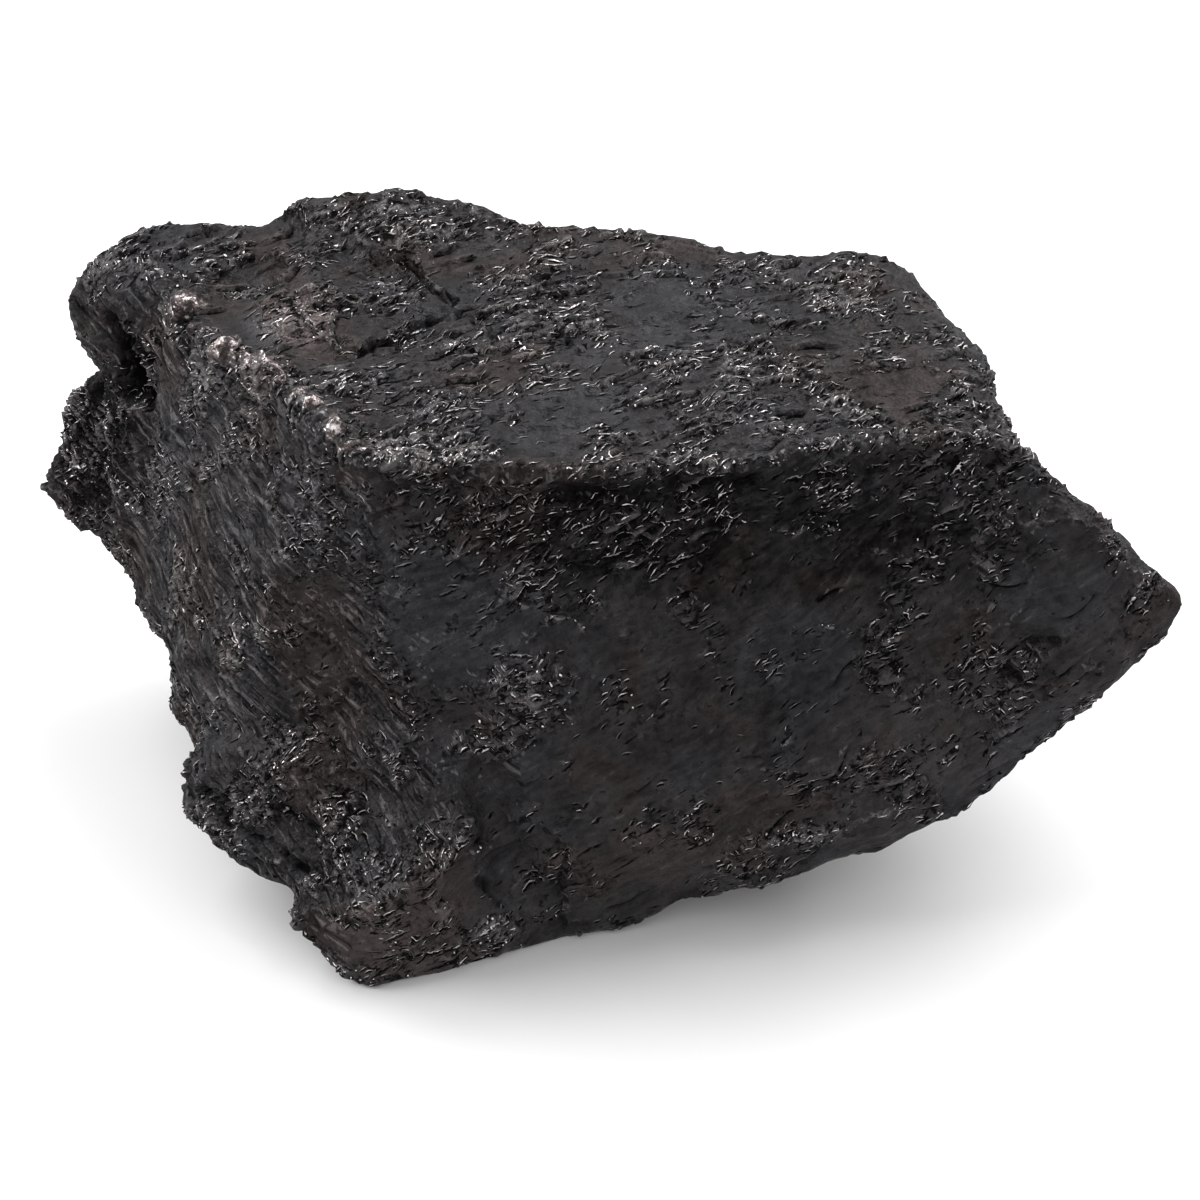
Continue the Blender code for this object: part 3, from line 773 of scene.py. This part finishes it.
class NodeBench:
    # a short way to lay out shader nodes
    def __init__(self, tree):
        self.tree = tree
        self.column = 0

    def add(self, kind, inputs=(), **settings):
        node = self.tree.nodes.new(kind)
        self.column += 1
        node.location = (self.column % 12 * 190 - 2400, -(self.column // 12) * 260)
        for key, value in settings.items():
            setattr(node, key, value)
        for key, value in dict(inputs).items():
            if isinstance(value, bpy.types.NodeSocket):
                self.tree.links.new(value, node.inputs[key])
            else:
                node.inputs[key].default_value = value
        return node

    def math(self, operation, first, second=0.0, third=0.0):
        node = self.add("ShaderNodeMath", {0: first, 1: second, 2: third}, operation=operation)
        return node.outputs[0]

    def vector(self, operation, first, second):
        inputs = {0: first, 3 if operation == "SCALE" else 1: second}
        node = self.add("ShaderNodeVectorMath", inputs, operation=operation)
        return node.outputs["Value" if operation == "DOT_PRODUCT" else "Vector"]

    def ramp(self, value, low, high, toLow=0.0, toHigh=1.0):
        spread = {"Value": value, "From Min": low, "From Max": high, "To Min": toLow, "To Max": toHigh}
        return self.add("ShaderNodeMapRange", spread, interpolation_type="SMOOTHSTEP").outputs[0]

    def most(self, *values):
        highest = values[0]
        for value in values[1:]:
            highest = self.math("MAXIMUM", highest, value)
        return highest

    def blend(self, share, first, second):
        node = self.add("ShaderNodeMix", data_type="RGBA")
        for socket, value in ((0, share), (6, first), (7, second)):
            if isinstance(value, bpy.types.NodeSocket):
                self.tree.links.new(value, node.inputs[socket])
            else:
                node.inputs[socket].default_value = (*value, 1) if socket else value
        return node.outputs[2]

    def parts(self, vector):
        return self.add("ShaderNodeSeparateXYZ", {0: vector}).outputs[:]

    def noise(self, vector, scale, detail, rough, dimensions):
        setting = {"Vector": vector, "Scale": scale, "Detail": detail, "Roughness": rough}
        return self.add("ShaderNodeTexNoise", setting, noise_dimensions=dimensions).outputs["Fac"]

    def cells(self, vector, scale):
        setting = {"Vector": vector, "Scale": scale, "Randomness": 1.0}
        return self.add("ShaderNodeTexVoronoi", setting, voronoi_dimensions="2D").outputs

    def attribute(self, name, output="Fac"):
        return self.add("ShaderNodeAttribute", attribute_name=name).outputs[output]


def crescents(bench, grain, size, share, thick, grit):
    # short curved flake edges, one to a cell. Gives back the raised flake, its bright edge as a painted
    # highlight, the crack below it, which dips and takes painted shade, a random number, and the tilt of the
    # cell's own facet.
    place = bench.vector("MULTIPLY", grain, tuple(1 / side for side in size))
    cell = bench.cells(place, 1.0)
    along, over, _ = bench.parts(bench.vector("SUBTRACT", place, cell["Position"]))
    lean, bend, chance = bench.parts(cell["Color"])
    bow = bench.math("MULTIPLY_ADD", lean, 2.4, -1.2)
    bow = bench.math("MULTIPLY_ADD", along, bench.math("MULTIPLY_ADD", bend, 2.8, -1.4), bow)
    across = bench.math("MULTIPLY_ADD", along, bow, over)
    across = bench.math("MULTIPLY_ADD", bench.math("SUBTRACT", grit, 0.5), 0.6, across)
    taper = bench.math("MULTIPLY_ADD", bench.math("ABSOLUTE", along), -2.3, 1.0)
    width = bench.math("MULTIPLY", bench.math("MULTIPLY", taper, grit), thick * 2)
    width = bench.math("MAXIMUM", width, 0.001)
    there = bench.ramp(bench.math("SUBTRACT", share, chance), -0.02, 0.02)
    crestHighlight = bench.ramp(bench.math("DIVIDE", bench.math("ABSOLUTE", across), width), 1.0, 0.35)
    below = bench.math("ABSOLUTE", bench.math("ADD", across, thick * 2.4))
    crack = bench.ramp(bench.math("DIVIDE", below, width), 1.9, 0.9)
    flake = bench.math("MULTIPLY", bench.ramp(across, -thick, thick * 0.3), bench.ramp(across, 0.45, 0.0))
    flake = bench.math("MULTIPLY", flake, bench.ramp(taper, 0.0, 0.5))
    facet = bench.math("MULTIPLY", along, bench.math("SUBTRACT", bend, 0.5))
    facet = bench.math("MULTIPLY_ADD", over, bench.math("MULTIPLY_ADD", lean, 0.5, -0.25), facet)
    facet = bench.math("MULTIPLY", facet, 4.4 * size[0])
    return [bench.math("MULTIPLY", part, there) for part in (flake, crestHighlight, crack)] + [bend, facet]


def faceGrain(bench):
    # each point's place in millimetres, and its place on the face's own grain with bending rows
    place = bench.add("ShaderNodeTexCoord").outputs["Object"]
    spot = bench.vector("SCALE", place, 1 / mm)
    flow = bench.attribute("flow", "Vector")
    sideways = bench.attribute("across", "Vector")
    streaky, closeAlong, closeAcross = bench.parts(bench.attribute("habit", "Vector"))
    outward = bench.vector("CROSS_PRODUCT", flow, sideways)
    along, across, through = (bench.vector("DOT_PRODUCT", spot, way) for way in (flow, sideways, outward))
    along = bench.math("MULTIPLY", along, closeAlong)
    across = bench.math("MULTIPLY", across, closeAcross)
    grain = bench.add("ShaderNodeCombineXYZ", {0: along, 1: across, 2: through}).outputs[0]
    return spot, bench.vector("ADD", bench.attribute("swirl", "Vector"), grain), streaky


def makeCrust():
    plan = crustFinish
    material = bpy.data.materials.new("crust")
    material.use_nodes = True
    tree = material.node_tree
    shader = tree.nodes["Principled BSDF"]
    bench = NodeBench(tree)
    spot, grain, streaky = faceGrain(bench)
    patch, proud, tint, toneAndPaintedLight = (bench.attribute(name) for name in ("patch", "proud", "tint", "toneAndPaintedLight"))
    pale, dark, melt, shine = (bench.attribute(name) for name in ("pale", "dark", "melt", "shine"))
    mottle = bench.attribute("mottle")
    grit = bench.noise(spot, *plan["grit"], "3D")
    gritBias = bench.math("SUBTRACT", grit, 0.5)

    # how flaky the crust is, and so how many of the cells hold a flake edge
    flaky = bench.math("MULTIPLY_ADD", bench.math("SUBTRACT", mottle, 0.5), 1.8, patch)
    flaky = bench.math("MULTIPLY_ADD", melt, -1.2, flaky)
    flaky = bench.math("MULTIPLY_ADD", shine, 0.6, flaky)
    flaky = bench.math("MULTIPLY_ADD", pale, 0.6, flaky)
    share = bench.ramp(flaky, -0.1, 1.2, 0.0, 0.9)
    thickLarge, thickSmall = plan["thickness"]
    rarer = bench.math("MULTIPLY", share, plan["largeShare"])
    large = crescents(bench, grain, plan["largeFlakes"], rarer, thickLarge, grit)
    small = crescents(bench, grain, plan["smallFlakes"], share, thickSmall, grit)

    # painted glint specks, pits with painted shade, and streaks
    bits = bench.cells(grain, plan["bits"])
    bitChance, bitSize, _ = bench.parts(bits["Color"])
    reach = bench.math("MULTIPLY_ADD", bitSize, 0.2, 0.07)
    ragged = bench.math("MULTIPLY_ADD", gritBias, 0.5, bits["Distance"])
    bit = bench.ramp(bench.math("DIVIDE", ragged, reach), 1.0, 0.5)
    seen = bench.math("MULTIPLY", bench.math("POWER", share, 2), 0.08)
    seen = bench.math("MULTIPLY_ADD", shine, 0.2, seen)
    glintSpeck = bench.math("MULTIPLY", bit, bench.ramp(bench.math("SUBTRACT", seen, bitChance), 0.0, 0.01))
    pit = bench.math("MULTIPLY", bit, bench.ramp(bitChance, 0.92, 0.96, 0.0, 0.8))
    streakPlace = bench.vector("MULTIPLY", grain, plan["streaks"])
    streak = bench.math("SUBTRACT", bench.noise(streakPlace, 1.0, 1.5, 0.55, "2D"), 0.5)
    streak = bench.math("MULTIPLY", bench.math("MULTIPLY", streak, streaky), bench.ramp(grit, 0.25, 0.5))
    dash = bench.ramp(streak, -0.07, -0.15)
    scrape = bench.ramp(streak, 0.07, 0.17)

    # height of it all
    height = bench.math("MULTIPLY", grit, bench.math("MULTIPLY_ADD", flaky, 0.6, 2.2))
    height = bench.math("MULTIPLY_ADD", streak, 3.0, height)
    height = bench.math("MULTIPLY", height, bench.math("MULTIPLY_ADD", melt, -0.6, 1.0))
    facets = bench.ramp(flaky, -0.3, 1.0, 0.2, 1.0)
    for (flake, _, crack, _, facet), size in zip((large, small), plan["flakeHeight"]):
        height = bench.math("MULTIPLY_ADD", flake, size, height)
        height = bench.math("MULTIPLY_ADD", crack, -1.5 * size, height)
        height = bench.math("MULTIPLY_ADD", bench.math("MULTIPLY", facet, facets), size, height)
    relief = {"Strength": 1.0, "Distance": plan["depth"] * mm, "Height": height}
    tree.links.new(bench.add("ShaderNodeBump", relief).outputs[0], shader.inputs["Normal"])

    # colour: slate with bluish and brown patches, lighter and darker by places
    tint = bench.math("SUBTRACT", tint, bench.math("MULTIPLY_ADD", melt, 1.5, pale))
    colour = bench.blend(bench.ramp(tint, 0.15, 0.8), plan["slate"], plan["blueGrey"])
    colour = bench.blend(bench.ramp(tint, -0.15, -0.8), colour, plan["brown"])
    # tone holds painted bounce light on the lower parts and painted shade under the rim, as well as the
    # crust's own tone
    level = bench.math("ADD", bench.ramp(mottle, 0.3, 0.7, 0.70, 1.16), toneAndPaintedLight)
    level = bench.math("MULTIPLY_ADD", streak, 2.2, level)
    # raised relief lighter and its hollows darker: painted light and shade
    level = bench.math("MULTIPLY_ADD", proud, 1.6, level)
    level = bench.math("MULTIPLY_ADD", gritBias, 0.9, level)
    level = bench.math("MULTIPLY_ADD", pale, 0.8, level)
    level = bench.math("MULTIPLY_ADD", melt, bench.ramp(grit, 0.44, 0.62, 0.2, 3.8), level)
    colour = bench.vector("SCALE", colour, bench.math("MAXIMUM", level, 0.15))

    # pale worn high ground and scrapes, and painted highlights: bright flake edges, specks, glints and melt
    strength = bench.ramp(bench.math("MULTIPLY_ADD", pale, 0.7, flaky), 0.0, 1.4, 0.12, 1.0)
    strength = bench.math("MULTIPLY_ADD", shine, 0.3, strength)
    few, bright = plan["bright"]
    edges = [bench.math("MULTIPLY", crestHighlight, bench.math("POWER", bend, few))
             for _, crestHighlight, _, bend, _ in (large, small)]
    edges = bench.math("MULTIPLY", bench.most(*edges), bright)
    high = bench.math("MULTIPLY", bench.ramp(proud, 0.14, 0.4), 0.10)
    worn = bench.most(
        bench.math("MULTIPLY", bench.most(edges, high), strength),
        glintSpeck,
        bench.math("MULTIPLY", shine, bench.ramp(grit, 0.52, 0.62, 0.0, 0.14)),
        # bright painted highlights on the melt lumps
        bench.math("MULTIPLY", melt, bench.ramp(grit, 0.57, 0.63, 0.0, 0.6)),
        bench.math("MULTIPLY", scrape, 0.05),
    )

    # near-black lows, mostly painted shade: cracks, pits, gaps between grains, hollows and low ground,
    # besides the dark dashes of the streaks
    gapShade = bench.ramp(flaky, -0.1, 1.0, 0.1, 1.0)
    gapShade = bench.math("MULTIPLY", bench.ramp(grit, 0.48, 0.39, 0.0, 0.95), gapShade)
    low = bench.most(large[2], small[2], pit, bench.math("MULTIPLY", dash, 0.55), gapShade, dark,
                     bench.ramp(proud, -0.05, -0.18))
    colour = bench.blend(low, colour, plan["paintedShadeColour"])
    colour = bench.blend(worn, colour, plan["worn"])
    tree.links.new(colour, shader.inputs["Base Color"])
    metal = bench.math("MULTIPLY_ADD", low, -plan["sheen"], plan["sheen"])
    metal = bench.math("MULTIPLY_ADD", bench.math("MAXIMUM", worn, melt), plan["wornSheen"], metal)
    tree.links.new(metal, shader.inputs["Metallic"])

    # gloss: satin in the calm patches, shinier where the crust is flaky, dull in the lows
    satin, shiny = plan["roughness"]
    gloss = bench.ramp(bench.math("MULTIPLY_ADD", melt, 2.6, flaky), 0.0, 1.4, satin, shiny)
    gloss = bench.math("MULTIPLY_ADD", melt, -0.12, gloss)
    gloss = bench.math("MAXIMUM", gloss, bench.math("MULTIPLY", low, 0.85))
    tree.links.new(gloss, shader.inputs["Roughness"])
    shader.inputs["Specular IOR Level"].default_value = plan["specular"]
    print("finish: crust")
    return material


studio = {
    "floorSide": 4.0,           # metres
    "floorColour": (0.8, 0.8, 0.8),
    "sky": 0.68,                # how strong the even light from all round is
}

# large soft boxes round the table. Each: the way it lies from the stone, distance, side in metres, watts
softBoxes = {
    "left": ((-1.0, 0.05, 0.60), 1.0, 0.5, 5.6),
    "backLeft": ((-0.62, 0.62, 0.75), 1.0, 0.5, 5.0),
    "backRight": ((0.62, 0.62, 0.62), 1.0, 0.5, 5.4),
    "above": ((0.40, 0.45, 0.95), 1.0, 0.6, 5.4),
    "front": ((0.1, -1.0, 0.55), 1.2, 0.6, 1.4),
}


def makeFloor():
    bpy.ops.mesh.primitive_plane_add(size=studio["floorSide"])
    floor = bpy.context.object
    floor.name = "floor"
    material = bpy.data.materials.new("floor")
    material.use_nodes = True
    shader = material.node_tree.nodes["Principled BSDF"]
    shader.inputs["Base Color"].default_value = (*studio["floorColour"], 1)
    shader.inputs["Roughness"].default_value = 0.9
    shader.inputs["Specular IOR Level"].default_value = 0.0
    floor.data.materials.append(material)
    floor.visible_glossy = False


def softBox(name, way, distance, side, power):
    data = bpy.data.lights.new(name, "AREA")
    data.shape = "SQUARE"
    data.size = side
    data.energy = power
    box = bpy.data.objects.new(name, data)
    bpy.context.scene.collection.objects.link(box)
    box.location = Vector(way).normalized() * distance
    box.rotation_mode = "QUATERNION"
    box.rotation_quaternion = box.location.to_track_quat("Z", "Y")


def makeLight():
    world = bpy.data.worlds.new("sky")
    bpy.context.scene.world = world
    world.use_nodes = True
    back = world.node_tree.nodes["Background"]
    back.inputs[0].default_value = (1, 1, 1, 1)
    back.inputs[1].default_value = studio["sky"]
    for name, plan in softBoxes.items():
        softBox(name, *plan)
    bpy.context.scene.view_settings.view_transform = "Standard"
    print("floor and light set")


def main():
    makeCamera()
    stone = fineCopy()
    tree = BVHTree.FromObject(stone, bpy.context.evaluated_depsgraph_get())
    pressRelief(stone, tree)
    thinOut(stone)
    stone.data.materials.clear()
    stone.data.materials.append(makeCrust())
    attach(stone, bodyName)
    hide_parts(nodeName)
    makeFloor()
    makeLight()


main()
